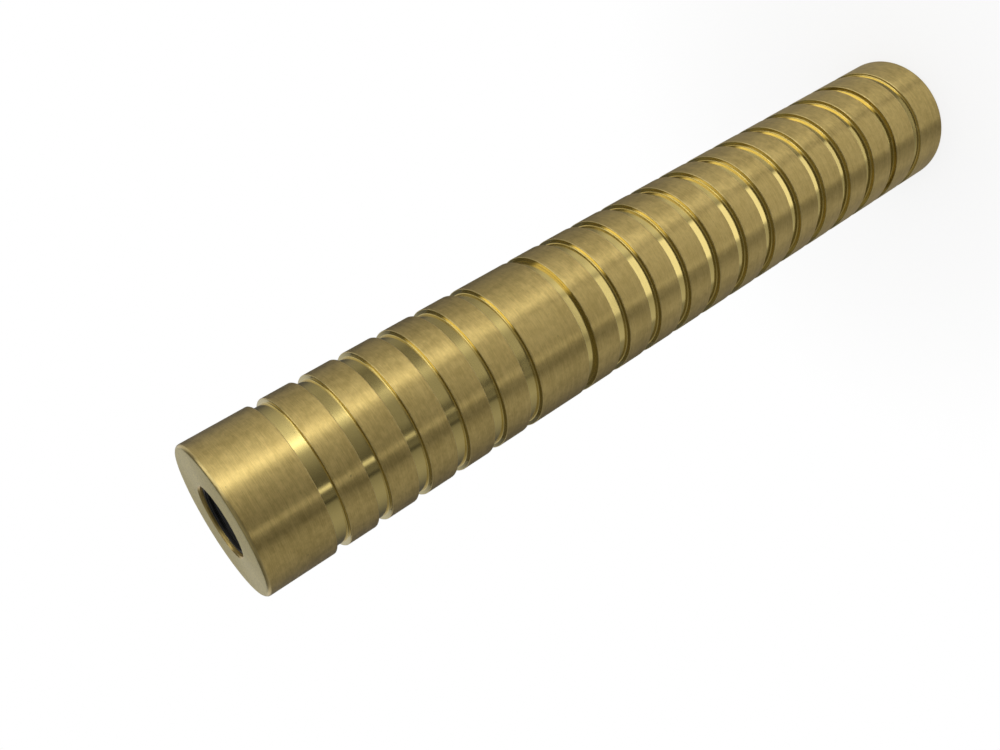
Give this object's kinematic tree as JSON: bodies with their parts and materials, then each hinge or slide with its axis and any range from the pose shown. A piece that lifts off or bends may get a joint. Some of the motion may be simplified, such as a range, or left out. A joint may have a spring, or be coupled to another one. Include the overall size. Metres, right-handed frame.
{
  "type": "laser pointer",
  "caption": "Straight cylindrical brass laser pointer with turned grip rings, a head and a tail cap that unscrew, a focus nut and a push button in the tail.",
  "frame": {"origin": "centre of the flat tail face that it stands on", "axes": "+Z along the pointer's axis, out of the aperture; +X and +Y square to it"},
  "size_m": [0.026, 0.026, 0.162],
  "materials": {
    "brass": "satin, turned with fine lines round it",
    "black_anodised": "satin black anodised",
    "focus_nut": "satin black anodised",
    "lens_glass": "polished and coated",
    "spring_steel": "bright wire",
    "contact_metal": "gold plated",
    "clamp_brass": "turned",
    "copper": "turned copper",
    "diode_metal": "gold plated",
    "diode_crystal": "cleaved",
    "red_insulation": "matt",
    "black_insulation": "matt",
    "insulating_sleeve": "matt",
    "circuit_board": "solder mask",
    "black_plastic": "moulded",
    "switch_plastic": "moulded",
    "ferrite": "pressed",
    "capacitor_ceramic": "fired",
    "seal_rubber": "moulded",
    "cell_steel": "nickel plated",
    "cell_foil": "wound foil",
    "cell_gasket": "moulded",
    "cell_wrap": "shrunk film"
  },
  "bodies": {
    "tube": {"battery_tube": "brass", "cell_can": "cell_steel", "cell_roll": "cell_foil", "cell_wrap": "cell_wrap", "cell_cap": "cell_steel", "cell_gasket": "cell_gasket"},
    "head_seal": {"head_seal": "seal_rubber"},
    "head": {"head": "brass", "module_barrel": "black_anodised", "module_ring": "clamp_brass", "diode_holder": "copper", "diode_base": "diode_metal", "diode_cap": "diode_metal", "diode_window": "lens_glass", "diode_chip": "diode_crystal", "diode_pins": "diode_metal", "red_lead": "red_insulation", "black_lead": "black_insulation", "driver_sleeve": "insulating_sleeve", "driver_board": "circuit_board", "driver_chip": "black_plastic", "driver_inductor": "ferrite", "driver_capacitors": "capacitor_ceramic", "contact_board": "circuit_board", "contact_spring": "contact_metal", "driver_ring": "clamp_brass"},
    "lens": {"lens": "lens_glass", "lens_spring": "spring_steel"},
    "lens_ring": {"lens_ring": "focus_nut"},
    "tail_seal": {"tail_seal": "seal_rubber"},
    "tail": {"tail_cap": "brass", "switch_body": "black_plastic", "switch_board": "circuit_board", "switch_terminals": "contact_metal", "switch_ring": "clamp_brass", "tail_spring": "contact_metal"},
    "button": {"tail_button": "brass", "button_seal": "seal_rubber", "switch_plunger": "switch_plastic", "switch_spring": "spring_steel"}
  },
  "joints": [
    {"name": "head_travel", "type": "slide", "parent": "tube", "child": "head_seal", "axis": [0, 0, 1], "range_m": [0, 0.0075]},
    {"name": "head_turn", "type": "hinge", "parent": "head_seal", "child": "head", "pos_m": [0, 0, 0.1], "axis": [0, 0, 1], "range_deg": [0, 2705]},
    {"name": "focus_travel", "type": "slide", "parent": "head", "child": "lens", "axis": [0, 0, 1], "range_m": [-0.0005, 0.0004], "deforming": ["lens_spring"]},
    {"name": "focus_turn", "type": "hinge", "parent": "lens", "child": "lens_ring", "pos_m": [0, 0, 0.16], "axis": [0, 0, 1], "range_deg": [-362, 290]},
    {"name": "tail_travel", "type": "slide", "parent": "tube", "child": "tail_seal", "axis": [0, 0, -1], "range_m": [0, 0.0075]},
    {"name": "tail_turn", "type": "hinge", "parent": "tail_seal", "child": "tail", "pos_m": [0, 0, 0.018], "axis": [0, 0, -1], "range_deg": [0, 2705]},
    {"name": "button_press", "type": "slide", "parent": "tail", "child": "button", "axis": [0, 0, 1], "range_m": [0, 0.0015], "stiffness_N_per_m": 1200, "springref_m": -0.0015, "deforming": ["switch_spring"]}
  ],
  "couplings": [
    {"joint": "head_turn", "follows": "head_travel", "rad_per_m": 6283.2},
    {"joint": "focus_turn", "follows": "focus_travel", "rad_per_m": 12566},
    {"joint": "tail_turn", "follows": "tail_travel", "rad_per_m": 6283.2}
  ]
}
